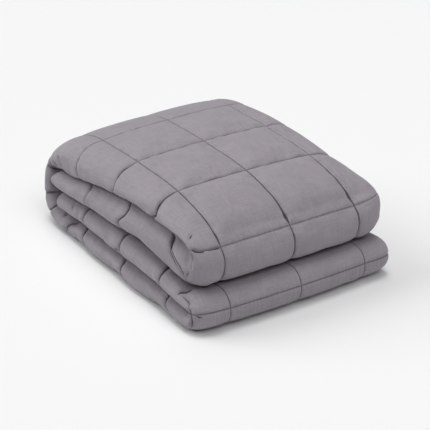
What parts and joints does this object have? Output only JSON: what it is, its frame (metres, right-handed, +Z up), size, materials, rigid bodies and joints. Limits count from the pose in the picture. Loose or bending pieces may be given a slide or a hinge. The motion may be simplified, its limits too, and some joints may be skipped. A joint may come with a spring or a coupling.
{
  "type": "folded weighted blanket",
  "caption": "Square-quilted weighted blanket, folded into a thick pile of padded layers with two rolled folds at the front and one large wrap at the back.",
  "frame": {"origin": "centre of the folded pile's footprint, on the surface it lies on", "axes": "+X across the pile, along the rolled folds; +Y from the two front rolls to the back wrap, the longest side; +Z up, away from the surface"},
  "size_m": [0.3782, 0.5106, 0.1895],
  "materials": {
    "quilted_cloth": "matte woven cotton, grey with a mauve cast"
  },
  "bodies": {
    "root": {"folded_blanket": "quilted_cloth"}
  },
  "joints": []
}
